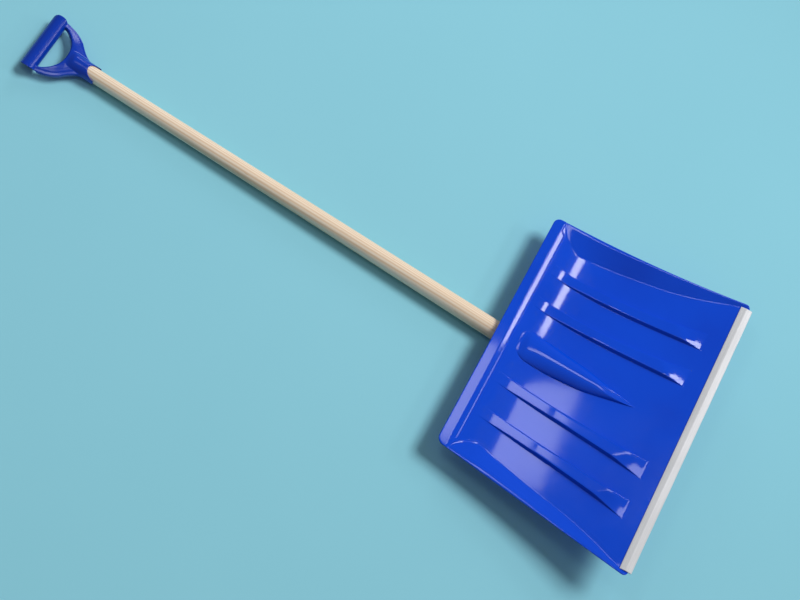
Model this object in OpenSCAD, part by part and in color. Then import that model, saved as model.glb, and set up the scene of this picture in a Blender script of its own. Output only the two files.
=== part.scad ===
// Snow shovel: a one-piece moulded plastic scoop with an aluminium wear strip
// on its front edge, a tapered wooden shaft and a moulded D-handle.
//
// Frame: the shovel lies on its back, open side up, as it rests on the ground.
// +X runs along the shaft towards the front edge of the scoop, +Y is across,
// +Z is up. The origin is under the middle of the bounding box, on the ground.
// The scoop is drawn in its own frame first: x = 0 at the front edge and
// negative towards the shaft, z = 0 at the floor by the front edge.

/* [Scoop] */
// Depth from the back rim to the front edge
scoop_depth = 358; // [340:1:380]
// Width over the back rim
scoop_back_w = 441; // [430:1:455]
// Width over the front corners
scoop_front_w = 520; // [510:1:530]
// Height of the back rim above the front edge
rim_h = 62; // [56:1:66]
// Wall thickness of the moulding
wall = 3; // [2.5:0.1:4]
// Width of the flat rim along the back
back_rim_w = 16; // [13:1:18]

/* [Ribs and hump] */
// Height of the four stiffening ribs in the floor
rib_h = 6.5; // [4:0.5:8]
// Height that the hump over the socket reaches above the floor
hump_rise = 8; // [6:0.5:10]

/* [Front strip] */
// Length of the aluminium strip across the scoop
strip_l = 501; // [490:1:503]
// Width of the strip, front to back
strip_w = 20.6; // [18:0.2:23]

/* [Shaft] */
// Angle between the shaft and the scoop's floor, degrees
shaft_angle = 15.7; // [14:0.1:17]
// Diameter at the scoop
shaft_d_low = 32; // [30:0.2:33]
// Diameter at the D-handle
shaft_d_top = 24.2; // [23:0.2:25]
// Length of shaft that sits in the scoop's socket
low_insert = 80; // [60:1:84]
// Length of shaft that sits in the D-handle's socket
top_insert = 36; // [30:1:38]

/* [D-handle] */
// Distance from the back rim to the far side of the grip, along the shaft
handle_reach = 859.5; // [780:1:1000]
// Width over the grip
grip_w = 104; // [98:1:112]
// Diameter of the grip
grip_d = 25.5; // [24:0.5:28]

/* [Hidden] */
$fn = 64;

blue = [0.0, 0.23, 0.72];
alu = [0.80, 0.81, 0.82];
pine = [0.87, 0.74, 0.56];
zinc = [0.72, 0.73, 0.74];

// height of the shaft's axis above the floor plane, at the back rim
axis_h = rim_h - 28.5;
// the socket's heel lies this far under the axis
heel_drop = 20;
grip_u = handle_reach - grip_d / 2;
// the grip sits slightly under the shaft's axis, so the handle rests on it
grip_low = 2;
heel_u = -50;
// the shaft drops a little towards the handle when both ends rest on the ground
drop_angle = asin((heel_drop - grip_d / 2 - grip_low) / (grip_u - heel_u));
rest_tilt = shaft_angle + drop_angle;

// the origin of the shaft line, before and after the shovel is laid down
ox = -scoop_depth * cos(rest_tilt) - axis_h * sin(rest_tilt);
oz = -scoop_depth * sin(rest_tilt) + axis_h * cos(rest_tilt);
ground = oz - grip_u * sin(drop_angle) - (grip_d / 2 + grip_low * cos(drop_angle));
x_back = ox - grip_u * cos(drop_angle) - grip_d / 2;
x_front = 2.2 * sin(rest_tilt);

// ---- shape of the scoop, as heights over its own plan ----
function s_of(x) = -x / scoop_depth;
function pinch(x) = 2.5 * 4 * s_of(x) * (1 - s_of(x));
corner_r = 11;
front_r = 9;
function corner_cut(d, r) = d >= r ? 0 : r - sqrt(max(0, r * r - (r - d) * (r - d)));
x_tip = -5.6;
function y_side(x) = scoop_front_w / 2 - (scoop_front_w - scoop_back_w) / 2 * s_of(x) - pinch(x);
function y_out(x) = y_side(x) - corner_cut(x + scoop_depth, corner_r) - corner_cut(x_tip - x, front_r);
function rim_z(x) = 2 + (rim_h - 2) * s_of(x) - 34 * s_of(x) * (1 - s_of(x));
function rim_w(x) = 3 + 11 * pow(s_of(x), 1.8);
x_wall = -(scoop_depth - back_rim_w);
function floor_z(x) = let(u = max(0, -x) / -x_wall) (rim_h - 3.5) * (0.5 * pow(u, 2) + 0.5 * pow(u, 6));
// side wall: its slope is steepest behind the middle
function wall_m(x) = x < -215 ? 0.50 - 0.34 * pow((-215 - x) / 127, 2) : 0.50 - 0.10 * pow((x + 215) / 135, 2);
function y_bend(x) = y_side(x) - rim_w(x);
function z_bend(x) = rim_z(x) - 0.22 * rim_w(x);
function wall_z(x, y) = z_bend(x) - wall_m(x) * (y_bend(x) - y);
function smin(a, b, k) = let(h = max(k - abs(a - b), 0) / k) min(a, b) - h * h * k / 4;
function smax(a, b, k) = -smin(-a, -b, k);
function ease(t) = let(c = max(0, min(1, t))) c * c * (3 - 2 * c);
// the flat rim leans inwards a little; it ends where the wall takes over
function rim_face(x, y) = let(d = min(max(0, y_side(x) - y), x + scoop_depth))
  d > rim_w(x) + 12 ? 999 : rim_z(x) - 0.22 * min(d, rim_w(x) + 3);

// ribs: two each side of the hump, fanning out towards the front
function rq(x) = max(0, min(1, (x + 300) / 250));
function rib_c_in(x) = 74 + 7 * rq(x) + 7 * pow(rq(x), 2);
function rib_c_out(x) = 138 + 11 * rq(x) + 12 * pow(rq(x), 2);
function rib_hw(x) = 9.5 + 3 * rq(x) + 4.5 * pow(rq(x), 2);
rib_run = 3.2;
function rib_len(x) = ease((x + 318) / 26) * (1 - ease((x + 74) / 24));
function rib_at(x, y, c) = rib_h * rib_len(x) * ease((rib_hw(x) - abs(y - c)) / rib_run);

// hump over the socket
function hump_hw(x) = (14 + 12 * ease((-107 - x) / 190)) * sqrt(max(0.0001, 1 - pow(max(0, (x + 122) / 15), 2))) * sqrt(max(0.0001, 1 - pow(max(0, (-296 - x) / 26), 2)));
function hump_top(x) = hump_rise + 0.184 * (-110 - x);
function hump_h(x) = max(0, hump_top(x) - floor_z(x)) * ease((-106 - x) / 22) * ease((x + 322) / 20);
function hump_at(x, y) = let(t = abs(y) / max(1, hump_hw(x))) t >= 1 ? 0 : hump_h(x) * pow(1 - t * t, 0.62);

function basin_z(x, y) = floor_z(x) + hump_at(x, y) + rib_at(x, y, rib_c_in(x)) + rib_at(x, y, rib_c_out(x));
function raw_z(x, y) = smin(smax(basin_z(x, y), wall_z(x, y), 1.6), rim_face(x, y), 3);
strip_seat = strip_l / 2 + 0.6;
function top_z(x, y) = (x > -strip_w - 1 && y < strip_seat) ? 0 : raw_z(x, y);

xs = [-358, -357.3, -355, -351, -346.5, -343, -339, -333, -326, -319, -312, -304, -295, -285, -272, -255, -236, -214, -190, -165, -142, -128, -119, -112, -107, -96, -76, -66, -57, -49, -36, -22.2, -21.2, -14, -9, -6.6, -5.6];
rows = [for (x = xs) x * scoop_depth / 358];
function y_foot(x) = min(x < -301 ? 185.5 + 19 * (-301 - x) / 44 : x < -145 ? 185.5 + 0.18 * (x + 301) : 213.5 + 0.33 * (x + 145), strip_seat - 0.4, y_out(x) - 6);
// stations across one half, from the middle line out to the rim
function half(x) = let(h = hump_hw(x), w = rib_hw(x), a = rib_c_in(x), b = rib_c_out(x), f = y_foot(x), o = y_out(x), e = min(y_bend(x), o - 2.4), g = max(e - f, 1.2))
  [0.42 * h, 0.72 * h, 0.9 * h, h, (h + a - w) / 2,
   a - w, a - w + rib_run, a, a + w - rib_run, a + w, (a + w + b - w) / 2,
   b - w, b - w + rib_run, b, b + w - rib_run, b + w, (b + w + f) / 2,
   f - 1.6, f + 0.12 * g, f + 0.5 * g, f + 0.85 * g, f + g, (f + g + o) / 2, o];
function row_y(x) = let(p = half(x), n = len(p)) concat([for (i = [n - 1 : -1 : 0]) -p[i]], [0], p);
ny = 49;
nx = len(rows);
function skin(top) = [for (x = rows) let(ys = row_y(x)) for (y = ys) [x, y, top_z(x, abs(y)) - (top ? 0 : wall)]];

module shell() {
  a = skin(true);
  b = skin(false);
  m = nx * ny;
  function id(i, j) = i * ny + j;
  faces = concat(
    [for (i = [0 : nx - 2]) for (j = [0 : ny - 2]) each [[id(i, j), id(i, j + 1), id(i + 1, j + 1)], [id(i, j), id(i + 1, j + 1), id(i + 1, j)]]],
    [for (i = [0 : nx - 2]) for (j = [0 : ny - 2]) each [[m + id(i, j), m + id(i + 1, j + 1), m + id(i, j + 1)], [m + id(i, j), m + id(i + 1, j), m + id(i + 1, j + 1)]]],
    [for (i = [0 : nx - 2]) each [[id(i, 0), id(i + 1, 0), m + id(i + 1, 0)], [id(i, 0), m + id(i + 1, 0), m + id(i, 0)]]],
    [for (i = [0 : nx - 2]) each [[id(i, ny - 1), m + id(i + 1, ny - 1), id(i + 1, ny - 1)], [id(i, ny - 1), m + id(i, ny - 1), m + id(i + 1, ny - 1)]]],
    [for (j = [0 : ny - 2]) each [[id(0, j), m + id(0, j + 1), id(0, j + 1)], [id(0, j), m + id(0, j), m + id(0, j + 1)]]],
    [for (j = [0 : ny - 2]) each [[id(nx - 1, j), id(nx - 1, j + 1), m + id(nx - 1, j + 1)], [id(nx - 1, j), m + id(nx - 1, j + 1), m + id(nx - 1, j)]]]);
  polyhedron(points = concat(a, b), faces = faces, convexity = 8);
}

// ---- placing: from the scoop's frame to the ground, and along the shaft ----
module laid() { translate([-(x_front + x_back) / 2, 0, -ground]) rotate([0, -rest_tilt, 0]) children(); }
// along the shaft: +Z points from the scoop to the handle, +X is the upper side
module on_shaft() { laid() translate([-scoop_depth, 0, axis_h]) rotate([0, shaft_angle - 90, 0]) children(); }

socket_r = shaft_d_low / 2 + 3.5;
socket_in = -92;
socket_mouth = -9;
screw_u = [-66, -34];
handle_screw_u = handle_reach - 90;

module socket_solid() {
  translate([0, 0, socket_in]) cylinder(r = socket_r, h = socket_mouth - socket_in);
  // web that ties the socket to the floor above it
  translate([0, -9, socket_in + 3]) cube([21.5, 18, socket_mouth - socket_in - 6]);
}
// flat heel pad under the socket, level with the ground when the shovel lies down
module heel() {
  heel_len = 62;
  hx = ox + (-heel_u) * cos(drop_angle);
  translate([-(x_front + x_back) / 2, 0, -ground])
    translate([hx - heel_len / 2, -34, ground])
      difference() {
        cube([heel_len, 68, 12]);
        for (s = [-1, 1]) translate([-1, s * 46 - 17, 5]) cube([heel_len + 2, 34, 20]);
      }
}
// screws enter from the underside, at a distance x from the axis
module screw_holes(us, r, x0, x1) { for (u = us) translate([-x1, 0, u]) rotate([0, 90, 0]) cylinder(r = r, h = x1 - x0); }

module scoop() {
  color(blue) difference() {
    union() {
      laid() shell();
      on_shaft() socket_solid();
      heel();
    }
    on_shaft() {
      translate([0, 0, -14 - low_insert + 2]) cylinder(d = shaft_d_low + 0.2, h = low_insert + 14);
      screw_holes(screw_u, 2.1, 0, 40);
      screw_holes(screw_u, 4.6, 17.5, 40);
    }
  }
}

module front_edge_strip() {
  color(alu) laid() translate([0, strip_l / 2, 0]) rotate([90, 0, 0])
    linear_extrude(height = strip_l)
      polygon([[-strip_w, 0.05], [-strip_w, 1.2], [-strip_w + 9.5, 2.7], [-1.2, 0.4], [0, -0.9], [0, -2.2], [-1.4, -4.0], [-3.6, -4.4], [-15.5, -4.4], [-15.5, -3.15], [-5.2, -3.15], [-5.2, 0.05], [-9.6, 1.3], [-strip_w + 5.5, 0.6], [-strip_w + 4, 0.05]]);
}

low_u = socket_mouth - low_insert;
top_u = handle_reach - 108.5 + top_insert + 4;
module shaft() {
  color(pine) difference() {
    on_shaft() rotate_extrude() polygon([[0, low_u], [shaft_d_low / 2 - 2, low_u], [shaft_d_low / 2, low_u + 2], [shaft_d_low / 2, 20],
      [shaft_d_top / 2, handle_reach - 160], [shaft_d_top / 2, top_u - 2], [shaft_d_top / 2 - 2, top_u], [0, top_u]]);
    on_shaft() screw_holes(screw_u, 1.9, -3, 30);
    on_shaft() screw_holes([handle_screw_u], 1.6, -4, 30);
  }
}

// D-handle: flat yoke with two arms, a round grip and a socket
arm_out = [[104, 12.2], [92.5, 13.2], [82.5, 15.5], [70, 25.3], [58, 38], [41, 45.8], [20, grip_w / 2 - 1.5], [12, grip_w / 2 - 1.5]];
arm_in = [[14, 41], [27, 40.5], [36, 35], [44.5, 27], [50.5, 17], [53, 6]];
module yoke_shape() {
  difference() {
    polygon(concat([for (p = arm_out) [p[0], p[1]]], [for (i = [len(arm_out) - 1 : -1 : 0]) [arm_out[i][0], -arm_out[i][1]]]));
    polygon(concat([for (p = arm_in) [p[0], p[1]]], [for (i = [len(arm_in) - 1 : -1 : 0]) [arm_in[i][0], -arm_in[i][1]]]));
  }
}
module d_handle() {
  color(blue) on_shaft() difference() {
    union() {
      translate([0, 0, handle_reach]) rotate([0, 90, 0]) translate([0, 0, -9]) linear_extrude(height = 18) yoke_shape();
      translate([-grip_low, grip_w / 2, grip_u]) rotate([90, 0, 0]) cylinder(d = grip_d, h = grip_w);
      translate([0, 0, handle_reach - 108.5]) cylinder(r = shaft_d_top / 2 + 2, h = 47);
    }
    translate([0, 0, handle_reach - 109.5]) cylinder(d = shaft_d_top + 0.2, h = top_insert + 6);
    screw_holes([handle_screw_u], 1.9, 0, 30);
    screw_holes([handle_screw_u], 3.9, shaft_d_top / 2 + 0.4, 30);
  }
}

module screw(head_r, head_h, shank_r, reach, seat) {
  // the head seats at this distance under the axis, the shank points to the axis
  translate([-seat, 0, 0]) rotate([0, 90, 0]) cylinder(r = shank_r, h = reach);
  translate([-seat, 0, 0]) rotate([0, -90, 0]) difference() {
    cylinder(r1 = head_r, r2 = head_r * 0.72, h = head_h);
    for (a = [0, 90]) rotate([0, 0, a]) translate([-head_r * 0.55, -0.45, head_h - 0.9]) cube([head_r * 1.1, 0.9, 2]);
  }
}
module scoop_screws() {
  color(zinc) on_shaft() for (u = screw_u) translate([0, 0, u]) screw(4.2, 2.2, 1.9, 17, 17.5);
}
module handle_screw() {
  color(zinc) on_shaft() translate([0, 0, handle_screw_u]) screw(3.4, 1.5, 1.6, 14, shaft_d_top / 2 + 0.4);
}

scoop();
front_edge_strip();
shaft();
d_handle();
scoop_screws();
handle_screw();
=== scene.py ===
import math
import bpy
import bmesh
import numpy as np
from mathutils import Matrix, Vector
from mathutils.geometry import delaunay_2d_cdt


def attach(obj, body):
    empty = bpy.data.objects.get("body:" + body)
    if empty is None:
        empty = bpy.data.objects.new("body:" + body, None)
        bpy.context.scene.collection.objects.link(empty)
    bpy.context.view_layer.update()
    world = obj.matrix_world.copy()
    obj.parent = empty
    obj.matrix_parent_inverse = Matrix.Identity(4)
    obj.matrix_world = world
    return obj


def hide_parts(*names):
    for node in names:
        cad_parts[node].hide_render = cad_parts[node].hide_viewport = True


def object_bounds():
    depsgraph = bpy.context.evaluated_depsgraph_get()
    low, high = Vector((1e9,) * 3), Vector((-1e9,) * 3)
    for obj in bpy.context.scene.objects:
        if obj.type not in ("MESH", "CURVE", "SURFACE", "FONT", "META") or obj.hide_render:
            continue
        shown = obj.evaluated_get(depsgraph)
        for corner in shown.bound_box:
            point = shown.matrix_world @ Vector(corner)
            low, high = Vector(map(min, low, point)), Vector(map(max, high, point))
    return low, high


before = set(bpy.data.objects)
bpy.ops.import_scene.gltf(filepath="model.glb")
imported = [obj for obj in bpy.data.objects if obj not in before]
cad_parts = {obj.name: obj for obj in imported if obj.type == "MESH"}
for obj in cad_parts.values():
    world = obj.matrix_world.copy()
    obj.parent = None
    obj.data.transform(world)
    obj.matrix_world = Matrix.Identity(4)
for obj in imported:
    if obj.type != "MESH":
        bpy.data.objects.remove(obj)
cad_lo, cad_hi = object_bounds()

MM = 0.001
rad = math.radians

# --------------------------------------------------------------------------
# the design's own sizes (millimetres) and where its frames lie in the row
# --------------------------------------------------------------------------
DEPTH, BACK_W, FRONT_W, RIM_H, WALL, BACK_RIM = 358.0, 441.0, 520.0, 62.0, 3.0, 16.0
RIB_H, HUMP_RISE = 6.5, 8.0
STRIP_L, STRIP_W = 501.0, 20.6
SHAFT_ANGLE, D_LOW, D_TOP = 15.7, 32.0, 24.2
REACH, GRIP_W, GRIP_D, GRIP_LOW = 859.5, 104.0, 25.5, 2.0
AXIS_H, HEEL_DROP, HEEL_U = RIM_H - 28.5, 20.0, -50.0
GRIP_U = REACH - GRIP_D / 2
DROP = math.asin((HEEL_DROP - GRIP_D / 2 - GRIP_LOW) / (GRIP_U - HEEL_U))
TILT = rad(SHAFT_ANGLE) + DROP
OX = -DEPTH * math.cos(TILT) - AXIS_H * math.sin(TILT)
OZ = -DEPTH * math.sin(TILT) + AXIS_H * math.cos(TILT)
GROUND = OZ - GRIP_U * math.sin(DROP) - (GRIP_D / 2 + GRIP_LOW * math.cos(DROP))
X_BACK = OX - GRIP_U * math.cos(DROP) - GRIP_D / 2
# the row's own box says where the handle's far side and the ground are
TX = cad_lo.x / MM - X_BACK
TZ = cad_lo.z / MM - GROUND
CT, ST = math.cos(TILT), math.sin(TILT)


def laid(p):
    """scoop frame (mm) -> row frame (m)"""
    p = np.asarray(p, float).reshape(-1, 3)
    return np.stack([CT * p[:, 0] - ST * p[:, 2] + TX, p[:, 1], ST * p[:, 0] + CT * p[:, 2] + TZ], 1) * MM


SB, CB = math.sin(rad(SHAFT_ANGLE - 90)), math.cos(rad(SHAFT_ANGLE - 90))


def on_shaft(p):
    """shaft frame (a = upper side, y, u = along to the handle; mm) -> row frame (m)"""
    p = np.asarray(p, float).reshape(-1, 3)
    x = CB * p[:, 0] + SB * p[:, 2] - DEPTH
    z = -SB * p[:, 0] + CB * p[:, 2] + AXIS_H
    return laid(np.stack([x, p[:, 1], z], 1))


def laid_dir(v):
    x, y, z = v
    return Vector((CT * x - ST * z, y, ST * x + CT * z))


# --------------------------------------------------------------------------
# mesh helpers
# --------------------------------------------------------------------------
def link(o):
    bpy.context.scene.collection.objects.link(o)
    return o


def make(name, verts, faces, smooth=True, sharp=None):
    me = bpy.data.meshes.new(name)
    me.from_pydata(np.asarray(verts, float).tolist(), [], [tuple(int(i) for i in f) for f in faces])
    me.validate()
    bm = bmesh.new()
    bm.from_mesh(me)
    bmesh.ops.recalc_face_normals(bm, faces=bm.faces)
    bm.to_mesh(me)
    bm.free()
    o = link(bpy.data.objects.new(name, me))
    if smooth:
        me.polygons.foreach_set("use_smooth", [True] * len(me.polygons))
        if sharp:
            me.set_sharp_from_angle(angle=rad(sharp))
    me.update()
    return o


def bake(o):
    """applies the modifiers of o"""
    bpy.context.view_layer.update()
    dg = bpy.context.evaluated_depsgraph_get()
    me = bpy.data.meshes.new_from_object(o.evaluated_get(dg))
    o.modifiers.clear()
    old = o.data
    o.data = me
    me.name = old.name + "_m"
    bpy.data.meshes.remove(old)
    return o


def boolean(o, other, op):
    m = o.modifiers.new("b", "BOOLEAN")
    m.operation = op
    m.solver = "EXACT"
    m.object = other
    bake(o)
    bpy.data.objects.remove(other)
    return o


def remesh(o, voxel, smooth_iter=6, factor=0.5):
    m = o.modifiers.new("r", "REMESH")
    m.mode = "VOXEL"
    m.voxel_size = voxel
    m.use_smooth_shade = True
    if smooth_iter:
        s = o.modifiers.new("s", "SMOOTH")
        s.factor = factor
        s.iterations = smooth_iter
    bake(o)
    o.data.polygons.foreach_set("use_smooth", [True] * len(o.data.polygons))
    o.data.update()
    return o


def revolve(profile, seg=96, axis="u", centre=(0, 0, 0)):
    """closed solid of revolution; profile = [(r, t)], the ends may have r = 0"""
    vs, fs, rings = [], [], []
    for r, t in profile:
        if r < 1e-6:
            rings.append([len(vs)])
            vs.append((0.0, 0.0, t))
        else:
            rings.append(list(range(len(vs), len(vs) + seg)))
            for k in range(seg):
                a = 2 * math.pi * k / seg
                vs.append((r * math.cos(a), r * math.sin(a), t))
    for a, b in zip(rings, rings[1:]):
        for k in range(seg):
            k2 = (k + 1) % seg
            if len(a) == 1 and len(b) == 1:
                continue
            if len(a) == 1:
                fs.append((a[0], b[k2], b[k]))
            elif len(b) == 1:
                fs.append((a[k], a[k2], b[0]))
            else:
                fs.append((a[k], a[k2], b[k2], b[k]))
    for ring in (rings[0], rings[-1]):
        if len(ring) > 1:
            fs.append(tuple(ring))
    v = np.array(vs)
    if axis == "y":
        v = np.stack([v[:, 0], v[:, 2], v[:, 1]], 1)
    elif axis == "a":
        v = np.stack([v[:, 2], v[:, 0], v[:, 1]], 1)
    return v + np.array(centre, float), fs


def arc(cx, cy, r, a0, a1, n):
    return [(cx + r * math.cos(rad(a0 + (a1 - a0) * i / n)), cy + r * math.sin(rad(a0 + (a1 - a0) * i / n))) for i in range(n + 1)]


def block(lo, hi, r=1.5, seg=3):
    """rounded box as (verts, faces)"""
    bm = bmesh.new()
    bmesh.ops.create_cube(bm, size=1.0)
    for v in bm.verts:
        v.co = Vector([(lo[i] + hi[i]) / 2 + v.co[i] * (hi[i] - lo[i]) for i in range(3)])
    if r:
        bmesh.ops.bevel(bm, geom=list(bm.edges), offset=r, segments=seg, profile=0.5, affect="EDGES")
    bm.verts.ensure_lookup_table()
    vs = np.array([v.co[:] for v in bm.verts])
    fs = [tuple(v.index for v in f.verts) for f in bm.faces]
    bm.free()
    return vs, fs


def chaikin(p, n=2, closed=False):
    p = [np.array(q, float) for q in p]
    for _ in range(n):
        q = [] if closed else [p[0]]
        m = len(p) if closed else len(p) - 1
        for i in range(m):
            a, b = p[i], p[(i + 1) % len(p)]
            q += [0.75 * a + 0.25 * b, 0.25 * a + 0.75 * b]
        if not closed:
            q.append(p[-1])
        p = q
    return p


def dist_to(pts, line):
    """distance from points (n,2) to an open polyline"""
    pts = np.asarray(pts, float)
    best = np.full(len(pts), 1e9)
    for a, b in zip(line, line[1:]):
        a, b = np.asarray(a, float), np.asarray(b, float)
        ab = b - a
        t = np.clip(((pts - a) @ ab) / max(1e-9, ab @ ab), 0, 1)
        best = np.minimum(best, np.linalg.norm(pts - (a + t[:, None] * ab), axis=1))
    return best


# --------------------------------------------------------------------------
# the scoop's surface, as heights over its own plan (mm)
# --------------------------------------------------------------------------
CORNER_R, FRONT_R, X_TIP, X_WALL = 11.0, 9.0, -5.6, -(DEPTH - BACK_RIM)


def ease(t):
    c = np.clip(t, 0, 1)
    return c * c * (3 - 2 * c)


def smin(a, b, k):
    h = np.maximum(k - np.abs(a - b), 0) / k
    return np.minimum(a, b) - h * h * k / 4


def smax(a, b, k):
    return -smin(-a, -b, k)


def s_of(x):
    return -x / DEPTH


def y_side(x):
    s = s_of(x)
    return FRONT_W / 2 - (FRONT_W - BACK_W) / 2 * s - 10 * s * (1 - s)


def corner_cut(d, r):
    return np.where(d >= r, 0.0, r - np.sqrt(np.maximum(0, r * r - (r - d) ** 2)))


def y_out(x):
    return y_side(x) - corner_cut(x + DEPTH, CORNER_R) - corner_cut(X_TIP - x, FRONT_R)


def rim_z(x):
    s = s_of(x)
    return 2 + (RIM_H - 2) * s - 34 * s * (1 - s)


def rim_w(x):
    return 3 + 11 * np.maximum(s_of(x), 0) ** 1.8


def floor_z(x):
    u = np.maximum(0, -x) / -X_WALL
    return (RIM_H - 3.5) * (0.5 * u ** 2 + 0.5 * u ** 6)


def foot_line(x):
    """where the side wall meets the floor"""
    f = 213.5 + 0.20 * (x + 145) + 0.0009 * (x + 145) ** 2
    return np.where(x < -301, 185.5 + 19 * (-301 - x) / 44, np.where(x < -145, 185.5 + 0.18 * (x + 301), f))


def wall_m(x):
    back = 0.50 - 0.34 * ((-215 - x) / 127) ** 2
    m = (rim_z(x) - 0.22 * rim_w(x) - floor_z(x)) / np.maximum(4, y_bend(x) - foot_line(x))
    m = np.clip(m, 0.12, 0.62)
    k = ease((x + 330) / 40)
    return back * (1 - k) + m * k


def y_bend(x):
    return y_side(x) - rim_w(x)


def wall_z(x, y):
    return rim_z(x) - 0.22 * rim_w(x) - wall_m(x) * (y_bend(x) - y)


def rim_face(x, y):
    d = np.minimum(np.maximum(0, y_side(x) - y), x + DEPTH)
    # a flat outer band, then a broad chamfer down to the basin's wall
    w = rim_w(x) + 3.2
    t = np.clip((d - 8.3 * ease((44 - DEPTH - x) / 16)) / w, 0, 1)
    g = np.where(t < 0.46, 0.0, np.where(t < 0.58, (t - 0.46) ** 2 / 0.24, (t - 0.52))) / 0.48
    z = rim_z(x) - 0.10 - 0.205 * w * (0.95 * g + 0.05 * g * g)
    return np.where(d > rim_w(x) + 12, 999.0, z)


def rq(x):
    return np.clip((x + 300) / 250, 0, 1)


def rib_c_in(x):
    return 74 + 7 * rq(x) + 7 * rq(x) ** 2


def rib_c_out(x):
    return 138 + 11 * rq(x) + 12 * rq(x) ** 2


def rib_hw(x):
    return 9.5 + 2.6 * rq(x) + 4.2 * rq(x) ** 4


RIB_END = -50.0


def rib_top(x, t):
    """height of the rib's top over the floor: it fades in on the back curve and
    falls to a crisp end near the front, sooner on the outer side (t = 1)"""
    run = 34 + 22 * np.clip((t + 0.5) / 1.5, 0, 1)
    q = (RIB_END - x) / run
    back = RIB_H * (1 - 0.0054 * np.maximum(0, -215 - x)) * ease((x + 332) / 75)
    return smin(back, RIB_H * q, 1.2)


def rib_at(x, y, c):
    d = rib_hw(x) - np.abs(y - c)
    t = (y - c) / rib_hw(x)
    slope = RIB_H / 3.0
    h = smin(rib_top(x, t), slope * d, 0.9)
    return smax(h, 0.0 * d, 0.5) * (x < RIB_END + 0.001) * (x > -323)


def hump_hw(x):
    w = 14.5 + 11.5 * ease((-107 - x) / 190)
    w = w * np.clip(1 - np.maximum(0, (x + 205) / 100) ** 1.5, 0.06, 1)
    return w * np.sqrt(np.maximum(1e-4, 1 - np.maximum(0, (-296 - x) / 26) ** 2))


def hump_h(x):
    top = HUMP_RISE + 0.184 * (-110 - x)
    return np.maximum(0, top - floor_z(x)) * ease((x + 322) / 20)


def hump_at(x, y):
    t = np.abs(y) / np.maximum(1, hump_hw(x))
    body = hump_h(x) * np.maximum(0, 1 - t * t) ** 0.62
    # the nose is planed off by a shallow facet that meets the floor at x = -107
    body = smin(body, 0.178 * (-107 - x), 0.8)
    return np.where(t >= 1, 0.0, np.maximum(body, 0))


STRIP_SEAT = STRIP_L / 2 + 0.6


def top_z(x, y):
    y = np.abs(y)
    basin = floor_z(x) + hump_at(x, y) + rib_at(x, y, rib_c_in(x)) + rib_at(x, y, rib_c_out(x))
    raw = smin(smax(basin, wall_z(x, y), 0.9), rim_face(x, y), 0.9)
    return np.where((x > -STRIP_W - 1) & (y < STRIP_SEAT), 0.0, raw)


def edge_dist(x, y):
    """distance in plan from the outline"""
    y = np.abs(y)
    d = np.minimum(y_out(x) - y, x + DEPTH)
    d = np.minimum(d, X_TIP - x)
    cy = y_side(x) - CORNER_R
    cx = -DEPTH + CORNER_R
    dc = CORNER_R - np.hypot(x - cx, y - cy)
    d = np.where((x < cx) & (y > cy), dc, d)
    fy, fx = y_side(x) - FRONT_R, X_TIP - FRONT_R
    df = FRONT_R - np.hypot(x - fx, y - fy)
    d = np.where((x > fx) & (y > fy), df, d)
    return np.maximum(d, 0)


def y_foot(x):
    f = foot_line(x)
    return np.minimum(np.minimum(f, STRIP_SEAT - 0.4), y_out(x) - 6)


LIP = [0, 0.05, 0.2, 0.45, 0.8, 1.25]


def spread(a, b, n, lo_dense=False, hi_dense=False):
    t = np.linspace(0, 1, n + 1)[1:]
    return a[:, None] + (b - a)[:, None] * t[None, :]


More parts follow.
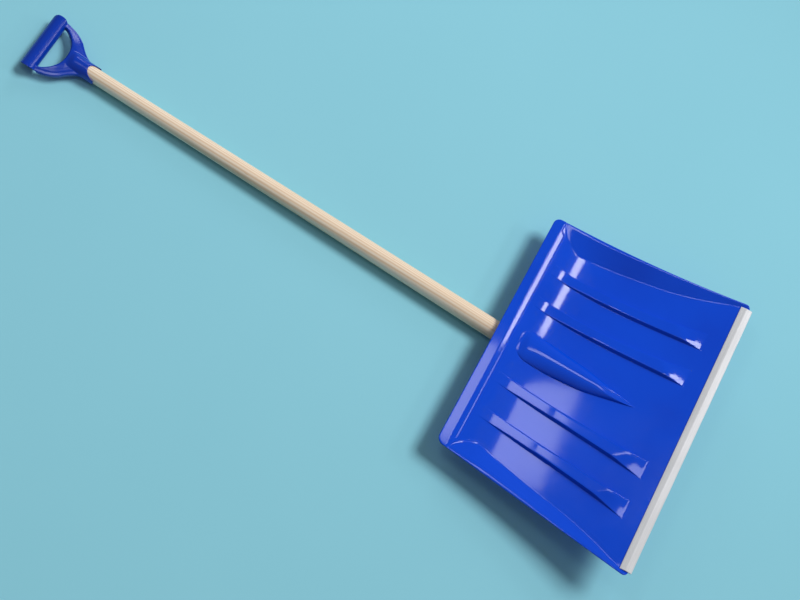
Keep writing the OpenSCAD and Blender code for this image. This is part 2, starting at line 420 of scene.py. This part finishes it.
def scoop_shell():
    off = [0, 0.05, 0.2, 0.45, 0.8, 1.25, 2, 3, 4.2, 5.6, 7.2, 9]
    off += list(np.arange(11, 30, 0.9)) + list(np.arange(30, 76, 1.6)) + list(np.arange(76, 240, 3.2))
    off += [250.9, 251.1]
    off += list(np.arange(240, 256, 1.3)) + list(np.arange(256, 272, 2.2)) + list(np.arange(272, 307.5, 1.2))
    off += [308 - 0.02, 308 + 0.02, 309.5, 312, 316, 322, 328, 334]
    off += [DEPTH - STRIP_W - 1 - 0.01, DEPTH - STRIP_W - 1 + 0.01, 340, 343, 346]
    off += [DEPTH + X_TIP - t for t in (4.6, 3.2, 2.1)] + [DEPTH + X_TIP - t for t in LIP[::-1]]
    xs = -DEPTH + np.array(sorted(set(round(float(v), 4) for v in off)))
    h = np.maximum(np.where(xs > -107, 7.9, hump_hw(xs)), 3.0)
    w, a, b = rib_hw(xs), rib_c_in(xs), rib_c_out(xs)
    f, o = y_foot(xs), y_out(xs)
    e = np.minimum(y_bend(xs), o - 2.8)
    e = np.maximum(e, f + 1.4)
    z0 = np.zeros_like(xs)
    cols = [z0[:, None]]

    def seg(p, q, n):
        cols.append(spread(p, q, n))
    # hump: denser towards its foot
    hs = np.sin(np.linspace(0, math.pi / 2, 17))[1:]
    cols.append(h[:, None] * hs[None, :])
    seg(h, h + 0.6, 1)
    seg(h + 0.6, a - w - 0.6, 9)
    for c in (a, b):
        seg(c - w - 0.6, c - w, 2)
        seg(c - w, c - w + 3.6, 8)
        seg(c - w + 3.6, c + w - 3.6, 7)
        seg(c + w - 3.6, c + w, 8)
        seg(c + w, c + w + 0.6, 2)
        if c is a:
            seg(a + w + 0.6, b - w - 0.6, 9)
    seg(b + w + 0.6, f - 3, 7)
    seg(f - 3, f + 3 * np.minimum(1, (e - f) / 8), 9)
    seg(f + 3 * np.minimum(1, (e - f) / 8), e - 2.5 * np.minimum(1, (e - f) / 8), 9)
    seg(e - 2.5 * np.minimum(1, (e - f) / 8), np.minimum(e + 3.5, o - 1.6), 9)
    seg(np.minimum(e + 3.5, o - 1.6), o - 1.25, 5)
    for d in LIP[::-1][1:]:
        cols.append((o - d)[:, None])
    Y = np.concatenate(cols, 1)
    Y = np.concatenate([-Y[:, :0:-1], Y], 1)
    X = np.repeat(xs[:, None], Y.shape[1], 1)
    # in the rounded corners the stations bunch up evenly
    Z = top_z(X, Y)
    d = edge_dist(X, Y)
    r = 1.25
    cut = np.where(d < r, r - np.sqrt(np.maximum(0, r * r - (r - d) ** 2)), 0)
    top = np.stack([X, Y, Z - cut], -1)
    bot = np.stack([X, Y, Z - WALL + cut], -1)
    n, m = X.shape
    vs = np.concatenate([top.reshape(-1, 3), bot.reshape(-1, 3)])
    N = n * m
    idx = np.arange(N).reshape(n, m)
    q = np.stack([idx[:-1, :-1], idx[:-1, 1:], idx[1:, 1:], idx[1:, :-1]], -1).reshape(-1, 4)
    fs = [tuple(f) for f in q] + [tuple(N + f[::-1]) for f in q]
    ring = list(idx[0, :]) + list(idx[1:, -1]) + list(idx[-1, -2::-1]) + list(idx[-2:0:-1, 0])
    for i in range(len(ring)):
        i2 = (i + 1) % len(ring)
        fs.append((ring[i], ring[i2], N + ring[i2], N + ring[i]))
    return make("scoop_shell", laid(vs), fs, smooth=True, sharp=38)


shell = scoop_shell()


# --------------------------------------------------------------------------
# socket, web and heel under the scoop
# --------------------------------------------------------------------------
def scoop_mount():
    r = D_LOW / 2 + 3.5
    prof = [(0, -92)] + [(r - 4.2 + 3.5 * math.sin(rad(t)), -92 + 3.5 - 3.5 * math.cos(rad(t))) for t in (0, 30, 60, 90)]
    prof += [(r - 0.7, -24), (r - 0.6, -17), (r, -16), (r, -10)] + [(r - 1 + math.cos(rad(t)), -10 + math.sin(rad(t))) for t in (30, 60, 90)]
    v, f = revolve(prof, 96)
    o = make("scoop_mount", on_shaft(v), f)
    v, f = block((0, -8.6, -88.6), (21.2, 8.6, -12.4), 1.2)
    boolean(o, make("t", on_shaft(v), f), "UNION")
    hx = OX + (-HEEL_U) * math.cos(DROP) + TX
    for lo, hi, rr in (((hx - 31, -34, cad_lo.z / MM), (hx + 31, 34, 5), 2.2), ((hx - 29, -28.5, 1.0), (hx + 29, 28.5, 11.8), 2.0)):
        v, f = block(lo, hi, rr)
        boolean(o, make("t", v * MM, f), "UNION")
    # two gussets each side tie the heel to the socket
    for y in (-1, 1):
        for du in (-66, -38):
            v, f = block((-19, min(y * 12, y * 27), du - 1.6), (-4, max(y * 12, y * 27), du + 1.6), 0.8)
            boolean(o, make("t", on_shaft(v), f), "UNION")
    v, f = revolve([(0, -87), (16.1, -87), (16.1, 5), (0, 5)], 96)
    boolean(o, make("t", on_shaft(v), f), "DIFFERENCE")
    for u in (-66, -34):
        v, f = revolve([(0, -40), (4.6, -40), (4.6, -17.5), (2.1, -17.5), (2.1, 0), (0, 0)], 48, "a", (0, 0, u))
        boolean(o, make("t", on_shaft(v), f), "DIFFERENCE")
    return remesh(o, 0.0009, 4, 0.45)


mount = scoop_mount()


# --------------------------------------------------------------------------
# aluminium strip
# --------------------------------------------------------------------------
def strip():
    w = STRIP_W
    prof = [(-w, 0.1), (-w + 0.02, 0.7), (-w + 0.25, 1.12), (-w + 0.7, 1.3), (-15.6, 2.0), (-12.6, 2.46), (-11.4, 2.66), (-10.6, 2.66), (-9.6, 2.42),
            (-6.0, 1.55), (-2.6, 0.74), (-1.2, 0.36), (-0.5, -0.02), (-0.1, -0.55), (0, -1.0), (0, -2.0), (-0.12, -2.7), (-0.6, -3.4), (-1.5, -3.95), (-2.6, -4.3), (-3.6, -4.4),
            (-15.2, -4.4), (-15.5, -4.1), (-15.5, -3.3), (-15.3, -3.15), (-5.5, -3.15), (-5.2, -2.9), (-5.2, -0.2), (-5.4, 0.05), (-9.6, 1.3), (-15.1, 0.6), (-16.6, 0.05)]
    L = STRIP_L / 2
    ys = [-L, -L + 0.12, -L + 0.4, -L + 0.9] + list(np.linspace(-L + 4, L - 4, 160)) + [L - 0.9, L - 0.4, L - 0.12, L]
    c = np.array([-9.0, -0.6])
    vs = []
    for y in ys:
        d = L - abs(y)
        k = 0.9 - math.sqrt(max(0, 0.81 - (0.9 - d) ** 2)) if d < 0.9 else 0.0
        for px, pz in prof:
            # the ends are slightly rounded over
            qx = px + (c[0] - px) * k * 0.05
            qz = pz + (0.2 - pz) * k * 0.16
            # a worn, not quite straight front edge
            if px > -1.3:
                qx -= 0.10 + 0.08 * math.sin(y * 0.031 + 1.3) + 0.05 * math.sin(y * 0.083)
            vs.append((qx, y, qz))
    n, m = len(ys), len(prof)
    fs = [(i * m + j, i * m + (j + 1) % m, (i + 1) * m + (j + 1) % m, (i + 1) * m + j) for i in range(n - 1) for j in range(m)]
    fs += [tuple(range(m)), tuple((n - 1) * m + j for j in range(m))]
    return make("front_edge_strip_skin", laid(vs), fs, smooth=True, sharp=40)


strip_o = strip()


# --------------------------------------------------------------------------
# wooden shaft
# --------------------------------------------------------------------------
def wood_shaft():
    lo, hi = -89.0, REACH - 108.5 + 36 + 4
    us = [lo, lo + 0.5, lo + 1.2, lo + 2, lo + 3] + list(np.linspace(lo + 8, 20, 26)) + list(np.linspace(26, REACH - 160, 150)) + list(np.linspace(REACH - 156, hi - 3, 24)) + [hi - 2, hi - 1.2, hi - 0.5, hi]
    seg = 112
    vs = []
    for u in us:
        t = min(1, max(0, (u - 20) / (REACH - 160 - 20)))
        r = D_LOW / 2 + (D_TOP - D_LOW) / 2 * t
        e = min(u - lo, hi - u)
        if e < 2:
            r -= 2 - math.sqrt(max(0, 4 - (2 - e) ** 2))
        for k in range(seg):
            a = 2 * math.pi * k / seg
            # turned wood is never quite round or straight
            rr = r - 0.07 + 0.05 * math.sin(3 * a + u * 0.011) + 0.02 * math.sin(7 * a - u * 0.023 + 1)
            vs.append((rr * math.cos(a), rr * math.sin(a), u))
    n = len(us)
    fs = [(i * seg + k, i * seg + (k + 1) % seg, (i + 1) * seg + (k + 1) % seg, (i + 1) * seg + k) for i in range(n - 1) for k in range(seg)]
    fs += [tuple(range(seg)), tuple((n - 1) * seg + k for k in range(seg))]
    return make("wooden_shaft", on_shaft(vs), fs, smooth=True, sharp=50)


shaft_o = wood_shaft()


# --------------------------------------------------------------------------
# D-handle
# --------------------------------------------------------------------------
def d_handle():
    R = REACH
    arm_out = [(104, 12.2), (92.5, 13.2), (82.5, 15.5), (70, 25.3), (58, 38), (41, 45.8), (20, GRIP_W / 2 - 1.5), (12, GRIP_W / 2 - 1.5)]
    arm_in = [(14, 41), (27, 40.5), (36, 35), (44.5, 27), (50.5, 17), (53, 6), (53, 0)]
    out_u = chaikin([(R - p, q) for p, q in arm_out], 3)
    in_u = chaikin([(R - p, q) for p, q in arm_in], 3)
    outer = [tuple(p) for p in out_u]
    inner = [tuple(p) for p in in_u]
    outer_l = [(u, -y) for u, y in outer]
    inner_full = inner + [(u, -y) for u, y in inner[::-1][1:]]
    loop_out = outer + outer_l[::-1]
    loop_in = inner_full

    def inside(pts, loop):
        pts = np.asarray(pts)
        x, y = pts[:, 0], pts[:, 1]
        r = np.zeros(len(pts), bool)
        n = len(loop)
        for i in range(n):
            x1, y1 = loop[i]
            x2, y2 = loop[(i + 1) % n]
            c = (y1 > y) != (y2 > y)
            with np.errstate(divide="ignore", invalid="ignore"):
                xi = (x2 - x1) * (y - y1) / (y2 - y1 if y2 != y1 else 1e-12) + x1
            r ^= c & (x < xi)
        return r

    gx, gy = np.meshgrid(np.arange(R - 104, R - 11, 1.15), np.arange(-51, 51.1, 1.15), indexing="ij")
    g = np.stack([gx.ravel() + 0.013, gy.ravel() + 0.017], 1)
    g = g[inside(g, loop_out) & ~inside(g, loop_in)]
    closed_out = loop_out + [loop_out[0]]
    closed_in = loop_in + [loop_in[0]]
    g = g[(dist_to(g, closed_out) > 0.5) & (dist_to(g, closed_in) > 0.5)]

    def resample(loop, step=0.8):
        res = []
        n = len(loop)
        for i in range(n):
            a, b = np.array(loop[i]), np.array(loop[(i + 1) % n])
            k = max(1, int(math.ceil(np.linalg.norm(b - a) / step)))
            res += [tuple(a + (b - a) * j / k) for j in range(k)]
        return res

    ro, ri = resample(loop_out), resample(loop_in)
    pts = [Vector(p) for p in ro] + [Vector(p) for p in ri] + [Vector(p) for p in g]
    no, ni = len(ro), len(ri)
    edges = [(i, (i + 1) % no) for i in range(no)] + [(no + i, no + (i + 1) % ni) for i in range(ni)]
    v2, e2, f2, _, _, _ = delaunay_2d_cdt(pts, edges, [], 0, 1e-4)
    P = np.array([v[:] for v in v2])
    cen = np.array([np.mean([P[i] for i in f], 0) for f in f2])
    keep = inside(cen, loop_out) & ~inside(cen, loop_in)
    tri = [tuple(f) for f, k in zip(f2, keep) if k]
    used = sorted({i for f in tri for i in f})
    remap = {o: n for n, o in enumerate(used)}
    P = P[used]
    tri = [tuple(remap[i] for i in f) for f in tri]
    # section: a raised inner bead, then a flank that falls away to the outer edge
    sides = [dist_to(P, outer), dist_to(P, outer_l)]
    d_out = np.minimum(*sides)
    d_in = dist_to(P, inner_full)
    flank = 2.6 + 0.34 * d_out + 0.4 * ease((d_out - 5.2) / 0.8)
    plate = 8.4 - 0.5 * ease((d_in - 3.5) / 6) * ease((P[:, 0] - (R - 70)) / 20)
    H = smin(flank, plate, 1.6)
    H = H - corner_cut(np.minimum(d_in, 2.4), 2.4) * 0.9
    # towards the socket the plate swells into the tube
    near = ease(((R - 47) - P[:, 0]) / 21)
    rt = D_TOP / 2 + 1.95
    tube = np.sqrt(np.maximum(0.0, rt ** 2 - np.minimum(np.abs(P[:, 1]), rt - 0.1) ** 2))
    H = smax(H, tube * near, 7.0)
    H = np.minimum(H, rt - 0.05)
    n = len(P)
    top = np.stack([H, P[:, 1], P[:, 0]], 1)
    bot = np.stack([-H, P[:, 1], P[:, 0]], 1)
    fs = list(tri) + [(n + a, n + c, n + b) for a, b, c in tri]
    cnt = {}
    for a, b, c in tri:
        for e in ((a, b), (b, c), (c, a)):
            cnt.setdefault(tuple(sorted(e)), []).append(e)
    for k, es in cnt.items():
        if len(es) == 1:
            a, b = es[0]
            fs.append((b, a, n + a, n + b))
    yoke = make("d_handle_skin", on_shaft(np.concatenate([top, bot])), fs)
    rg = GRIP_D / 2
    e = 0.9
    half = GRIP_W / 2
    prof = [(0, -half)] + [(rg - e + e * math.sin(rad(t)), -half + e - e * math.cos(rad(t))) for t in (0, 22, 45, 68, 90)]
    prof += [(rg, t) for t in np.linspace(-half + e + 2, half - e - 2, 24)]
    prof += [(rg - e + e * math.cos(rad(t)), half - e + e * math.sin(rad(t))) for t in (0, 22, 45, 68, 90)] + [(0, half)]
    v, f = revolve(prof, 96, "y", (-GRIP_LOW, 0, GRIP_U))
    boolean(yoke, make("t", on_shaft(v), f), "UNION")
    # both ends of the grip lean in towards the lower side
    for sgn in (-1, 1):
        v, f = block((-20, 0, GRIP_U - 16), (GRIP_D / 2 - GRIP_LOW, 12, GRIP_U + 16), 0)
        cut = half - 0.40 * (GRIP_D / 2 - GRIP_LOW - v[:, 0])
        near_y, far_y = sgn * cut, sgn * (half + 6)
        lo_y, hi_y = (near_y, far_y) if sgn > 0 else (far_y, near_y)
        v[:, 1] = np.where(v[:, 1] > 6, hi_y, lo_y)
        boolean(yoke, make("t", on_shaft(v), f), "DIFFERENCE")
    ro2 = D_TOP / 2 + 2
    v, f = revolve([(0, R - 108.5), (ro2 - 0.4, R - 108.5), (ro2, R - 107.8), (ro2, R - 84), (ro2 - 0.5, R - 78), (ro2 - 1.2, R - 68.5), (ro2 - 7, R - 64), (0, R - 62)], 96)
    boolean(yoke, make("t", on_shaft(v), f), "UNION")
    v, f = revolve([(0, R - 112), (D_TOP / 2 + 0.1, R - 112), (D_TOP / 2 + 0.1, R - 66.5), (0, R - 66.5)], 96)
    boolean(yoke, make("t", on_shaft(v), f), "DIFFERENCE")
    # the mouth is cut back in a U on the upper side
    v, f = revolve([(0, 1.5), (1, 1.5), (1, 30), (0, 30)], 72, "a")
    v = v * np.array([1, 12.6, 17.5]) + np.array([0, 0, R - 108.8])
    boolean(yoke, make("t", on_shaft(v), f), "DIFFERENCE")
    v, f = revolve([(0, -30), (3.9, -30), (3.9, -D_TOP / 2 - 0.4), (1.9, -D_TOP / 2 - 0.4), (1.9, 0), (0, 0)], 48, "a", (0, 0, R - 90))
    boolean(yoke, make("t", on_shaft(v), f), "DIFFERENCE")
    return remesh(yoke, 0.00075, 5, 0.45)


handle_o = d_handle()


# --------------------------------------------------------------------------
# screws: the CAD nodes stay, with softened edges
# --------------------------------------------------------------------------
for nm in ("scoop_screws", "handle_screw"):
    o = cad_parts[nm]
    bv = o.modifiers.new("soft_edges", "BEVEL")
    bv.width = 0.00018
    bv.segments = 2
    bv.limit_method = "ANGLE"
    bv.angle_limit = rad(40)

# keep every piece inside the CAD box
for o in (shell, mount, strip_o, shaft_o, handle_o):
    co = np.zeros(len(o.data.vertices) * 3)
    o.data.vertices.foreach_get("co", co)
    co = co.reshape(-1, 3)
    co = np.clip(co, np.array(cad_lo) + 1e-6, np.array(cad_hi) - 1e-6)
    o.data.vertices.foreach_set("co", co.ravel())
    o.data.update()


# --------------------------------------------------------------------------
# materials
# --------------------------------------------------------------------------
class M:
    def __init__(self, name):
        self.m = bpy.data.materials.new(name)
        self.m.use_nodes = True
        self.nt = self.m.node_tree
        self.nt.nodes.clear()
        self.out = self.nt.nodes.new("ShaderNodeOutputMaterial")
        self.b = self.nt.nodes.new("ShaderNodeBsdfPrincipled")
        self.link(self.b.outputs[0], self.out.inputs[0])

    def link(self, a, b):
        self.nt.links.new(a, b)

    def node(self, kind, **props):
        n = self.nt.nodes.new(kind)
        for k, v in props.items():
            setattr(n, k, v)
        return n

    def coords(self, scale=(1, 1, 1), rot=(0, 0, 0)):
        t = self.node("ShaderNodeTexCoord")
        mp = self.node("ShaderNodeMapping")
        mp.inputs["Scale"].default_value = scale
        mp.inputs["Rotation"].default_value = rot
        self.link(t.outputs["Object"], mp.inputs["Vector"])
        return mp.outputs["Vector"]

    def noise(self, vec, scale, detail=4, rough=0.5, dist=0.0):
        n = self.node("ShaderNodeTexNoise")
        n.inputs["Scale"].default_value = scale
        n.inputs["Detail"].default_value = detail
        n.inputs["Roughness"].default_value = rough
        n.inputs["Distortion"].default_value = dist
        self.link(vec, n.inputs["Vector"])
        return n.outputs["Fac"]

    def ramp(self, fac, stops, interp="LINEAR"):
        r = self.node("ShaderNodeValToRGB")
        r.color_ramp.interpolation = interp
        el = r.color_ramp.elements
        while len(el) > 1:
            el.remove(el[-1])
        el[0].position, el[0].color = stops[0][0], (*stops[0][1], 1)
        for p, c in stops[1:]:
            e = el.new(p)
            e.color = (*c, 1)
        self.link(fac, r.inputs["Fac"])
        return r.outputs["Color"]

    def mix(self, fac, a, b, mode="MIX"):
        n = self.node("ShaderNodeMix", data_type="RGBA", blend_type=mode)
        ins = [s for s in n.inputs if s.enabled]
        for sock, val in ((ins[0], fac), (ins[1], a), (ins[2], b)):
            if isinstance(val, (int, float)):
                sock.default_value = val
            elif isinstance(val, tuple):
                sock.default_value = (*val, 1)
            else:
                self.link(val, sock)
        return [s for s in n.outputs if s.enabled][0]

    def math(self, op, a, b=None, clamp=False):
        n = self.node("ShaderNodeMath", operation=op, use_clamp=clamp)
        for sock, val in ((n.inputs[0], a), (n.inputs[1], b)):
            if val is None:
                continue
            if isinstance(val, (int, float)):
                sock.default_value = val
            else:
                self.link(val, sock)
        return n.outputs[0]

    def maprange(self, v, a, b, c, d):
        n = self.node("ShaderNodeMapRange")
        for i, x in zip(range(1, 5), (a, b, c, d)):
            n.inputs[i].default_value = x
        self.link(v, n.inputs[0])
        return n.outputs[0]

    def bump(self, height, strength, distance, normal=None):
        n = self.node("ShaderNodeBump")
        n.inputs["Strength"].default_value = strength
        n.inputs["Distance"].default_value = distance
        self.link(height, n.inputs["Height"])
        if normal is not None:
            self.link(normal, n.inputs["Normal"])
        return n.outputs["Normal"]


def plastic(name, base, dark, light, rough_lo, rough_hi, flow=(1, 1, 1)):
    k = M(name)
    c = k.coords()
    big = k.noise(c, 7, 3, 0.5)
    col = k.ramp(big, [(0.30, dark), (0.5, base), (0.72, light)])
    fine = k.noise(c, 900, 2, 0.6)
    col = k.mix(k.maprange(fine, 0.3, 0.7, 0.0, 0.10), col, dark)
    k.link(col, k.b.inputs["Base Color"])
    # handling marks: fine scuffs drawn out along the object
    sc = k.coords((60, 420, 420), (0.1, 0.2, 0.35))
    scuff = k.noise(sc, 1.0, 5, 0.65, 0.3)
    smear = k.noise(c, 16, 3, 0.5)
    r = k.maprange(scuff, 0.35, 0.75, rough_lo, rough_hi)
    r2 = k.maprange(smear, 0.35, 0.7, -0.012, 0.022)
    rr = k.math("ADD", r, r2, clamp=True)
    k.link(rr, k.b.inputs["Roughness"])
    orange = k.noise(c, 240, 2, 0.5)
    n1 = k.bump(orange, 0.05, 0.0001)
    n2 = k.bump(scuff, 0.02, 0.00005, n1)
    k.link(n2, k.b.inputs["Normal"])
    k.b.inputs["IOR"].default_value = 1.49
    return k


blue = plastic("blue_moulded_plastic", (0.0002, 0.058, 0.60), (0.0002, 0.051, 0.555), (0.0003, 0.063, 0.635), 0.055, 0.11)

blue_grip = plastic("blue_handle_plastic", (0.0003, 0.036, 0.40), (0.0003, 0.032, 0.36), (0.0004, 0.040, 0.43), 0.16, 0.24)

alu = M("brushed_aluminium")
c = alu.coords((900, 9, 900))
brush = alu.noise(c, 1.0, 6, 0.7)
c2 = alu.coords((60, 14, 60))
patch = alu.noise(c2, 1.0, 3, 0.55)
col = alu.ramp(brush, [(0.3, (0.70, 0.71, 0.72)), (0.55, (0.80, 0.81, 0.82)), (0.75, (0.88, 0.885, 0.89))])
col = alu.mix(alu.maprange(patch, 0.35, 0.7, 0.0, 0.35), col, (0.58, 0.59, 0.60))
alu.link(col, alu.b.inputs["Base Color"])
alu.b.inputs["Metallic"].default_value = 0.3
alu.link(alu.maprange(brush, 0.3, 0.75, 0.38, 0.52), alu.b.inputs["Roughness"])
alu.link(alu.bump(brush, 0.25, 0.00006), alu.b.inputs["Normal"])

zinc = M("zinc_plated_steel")
c = zinc.coords()
zn = zinc.noise(c, 260, 4, 0.6)
zinc.link(zinc.ramp(zn, [(0.3, (0.45, 0.46, 0.48)), (0.6, (0.66, 0.67, 0.69)), (0.8, (0.72, 0.72, 0.70))]), zinc.b.inputs["Base Color"])
zinc.b.inputs["Metallic"].default_value = 1.0
zinc.link(zinc.maprange(zn, 0.3, 0.7, 0.22, 0.42), zinc.b.inputs["Roughness"])
zinc.link(zinc.bump(zn, 0.2, 0.0001), zinc.b.inputs["Normal"])

wood = M("planed_pine")
# long, straight grain: rings cut lengthwise, fine fibres, a few resin flecks
wa = wood.coords((0.9, 62, 62), (0.35, 0, 0.004))
ring = wood.node("ShaderNodeTexWave", wave_type="BANDS", bands_direction="Y", wave_profile="SIN")
ring.inputs["Scale"].default_value = 1.35
ring.inputs["Distortion"].default_value = 3.2
ring.inputs["Detail"].default_value = 3
ring.inputs["Detail Scale"].default_value = 1.0
ring.inputs["Detail Roughness"].default_value = 0.55
wood.link(wa, ring.inputs["Vector"])
fib = wood.noise(wood.coords((14, 900, 900)), 1.0, 5, 0.65)
tone = wood.noise(wood.coords((2.2, 30, 30)), 1.0, 4, 0.55)
col = wood.ramp(ring.outputs["Fac"], [(0.0, (0.70, 0.52, 0.36)), (0.35, (0.80, 0.66, 0.50)), (0.75, (0.85, 0.74, 0.60)), (1.0, (0.87, 0.77, 0.64))])
col = wood.mix(wood.maprange(tone, 0.35, 0.7, 0.0, 0.45), col, (0.78, 0.56, 0.35))
col = wood.mix(wood.maprange(fib, 0.45, 0.75, 0.0, 0.35), col, (0.66, 0.44, 0.25))
fleck = wood.noise(wood.coords((38, 420, 420)), 1.0, 2, 0.5)
col = wood.mix(wood.maprange(fleck, 0.70, 0.78, 0.0, 0.55), col, (0.42, 0.25, 0.12))
wood.link(col, wood.b.inputs["Base Color"])
wood.link(wood.maprange(fib, 0.3, 0.7, 0.42, 0.60), wood.b.inputs["Roughness"])
nb = wood.bump(fib, 0.35, 0.00012)
wood.link(wood.bump(ring.outputs["Fac"], 0.12, 0.0001, nb), wood.b.inputs["Normal"])

floor_m = M("pale_floor")
c = floor_m.coords()
fn = floor_m.noise(c, 3.0, 3, 0.5)
floor_m.link(floor_m.ramp(fn, [(0.3, (0.250, 0.576, 0.678)), (0.7, (0.256, 0.584, 0.687))]), floor_m.b.inputs["Base Color"])
floor_m.b.inputs["Roughness"].default_value = 0.85
floor_m.b.inputs["Specular IOR Level"].default_value = 0.1


def wear(o, m):
    o.data.materials.clear()
    o.data.materials.append(m.m)


wear(shell, blue)
wear(mount, blue)
wear(handle_o, blue_grip)
wear(strip_o, alu)
wear(shaft_o, wood)
for nm in ("scoop_screws", "handle_screw"):
    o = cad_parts[nm]
    if not o.material_slots:
        o.data.materials.append(zinc.m)
    for s in o.material_slots:
        s.material = zinc.m

# --------------------------------------------------------------------------
# bodies: each new piece hangs under the root body, and the CAD pieces it stands for are hidden
# --------------------------------------------------------------------------
for o, sl in ((shell, "blue_plastic"), (mount, "blue_plastic"), (handle_o, "blue_plastic"), (strip_o, "aluminium_strip"), (shaft_o, "shaft_wood")):
    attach(o, "root")
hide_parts("scoop")
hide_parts("front_edge_strip")
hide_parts("shaft")
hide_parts("d_handle")

# --------------------------------------------------------------------------
# floor, camera, light
# --------------------------------------------------------------------------
zf = float(cad_lo.z)
fs = 6.0
n = 24
v = [(-fs + 2 * fs * i / n, -fs + 2 * fs * j / n, zf - 0.0002) for i in range(n + 1) for j in range(n + 1)]
f = [(i * (n + 1) + j, (i + 1) * (n + 1) + j, (i + 1) * (n + 1) + j + 1, i * (n + 1) + j + 1) for i in range(n) for j in range(n)]
floor = make("floor", v, f, smooth=False)
wear(floor, floor_m)

# camera: solved in the scoop's frame, carried over to the row
Rc = np.array([[0.885918, 0.46139, 0.047639], [0.439683, -0.802619, -0.403091], [-0.147746, 0.378051, -0.913919]])
Cc = np.array([-159.95, -949.89, 2266.55])
cam_d = bpy.data.cameras.new("camera")
cam = link(bpy.data.objects.new("camera", cam_d))
cam_d.sensor_width = 36.0
cam_d.sensor_fit = "HORIZONTAL"
cam_d.lens = 1501.0 / 800 * 36
cam_d.clip_start, cam_d.clip_end = 0.05, 60
loc = laid(Cc)[0]
ax = [laid_dir(Rc[0]), -laid_dir(Rc[1]), -laid_dir(Rc[2])]
mw = Matrix([[ax[c][r] for c in range(3)] + [loc[r]] for r in range(3)] + [[0, 0, 0, 1]])
cam.matrix_world = mw
bpy.context.scene.camera = cam


def area(name, target, direction, dist, size, radiance, color=(1, 1, 1), up=(0, 0, 1), frame_dir=True):
    """a soft box that looks at target (scoop frame, mm) from a direction given in the scoop's frame"""
    d = Vector(direction).normalized()
    tgt = Vector(laid(target)[0])
    dd = laid_dir(d)
    ld = bpy.data.lights.new(name, "AREA")
    ld.shape = "RECTANGLE"
    ld.size, ld.size_y = size
    ld.energy = radiance * math.pi * size[0] * size[1]
    ld.color = color
    o = link(bpy.data.objects.new(name, ld))
    z = dd
    x = Vector(laid_dir(up)).cross(z).normalized()
    y = z.cross(x)
    p = tgt + dd * dist
    o.matrix_world = Matrix([[x[r], y[r], z[r], p[r]] for r in range(3)] + [[0, 0, 0, 1]])
    return o


def sun(name, direction, strength, angle, color=(1, 1, 1)):
    """a far, round soft source; its direction is given in the scoop's frame"""
    ld = bpy.data.lights.new(name, "SUN")
    ld.energy = strength
    ld.angle = rad(angle)
    ld.color = color
    o = link(bpy.data.objects.new(name, ld))
    o.visible_glossy = False
    z = laid_dir(Vector(direction).normalized())
    o.matrix_world = Matrix.Translation(z * 4) @ z.to_track_quat("Z", "Y").to_matrix().to_4x4()
    return o


# a bright strip box draws the white bars along the back curve, a dimmer one the
# patches in the lower half; a rim box, two side boxes by the handle and a far key do the rest
area("strip_box", (-290, 100, 30), (0.553, 0.452, 0.715), 1.5, (0.30, 0.10), 13, (0.96, 0.96, 1.0), up=(-0.7, 0, 0.7))
area("patch_box", (-230, -105, 15), (0.358, 0.331, 0.873), 1.518, (0.28, 0.385), 4.8, (0.93, 0.92, 1.0), up=(1, 0, 0))
area("rim_box", (-349, 125, 80), (0.812, 0.43, 0.393), 1.5, (0.42, 0.13), 12, (0.95, 0.95, 1.0), up=(0, 0, 1))
area("side_box_left", (-1180, 0, 255), (0.305, -0.06, 0.953), 1.7, (0.42, 0.42), 4.6, (0.95, 0.95, 1.0), up=(1, 0, 0))
area("side_box_right", (-1180, 0, 255), (0.163, 0.885, 0.43), 1.7, (0.6, 0.45), 4.6, (0.95, 0.95, 1.0), up=(1, 0, 0))
sun("key", (0.553, 0.452, 0.715), 2.15, 22, (1.0, 0.99, 0.97))

world = bpy.data.worlds.new("studio")
bpy.context.scene.world = world
world.use_nodes = True
bg = world.node_tree.nodes["Background"]
bg.inputs[0].default_value = (0.94, 0.96, 1.0, 1)
bg.inputs[1].default_value = 0.19
bpy.context.scene.view_settings.view_transform = "Standard"
bpy.context.scene.view_settings.look = "None"
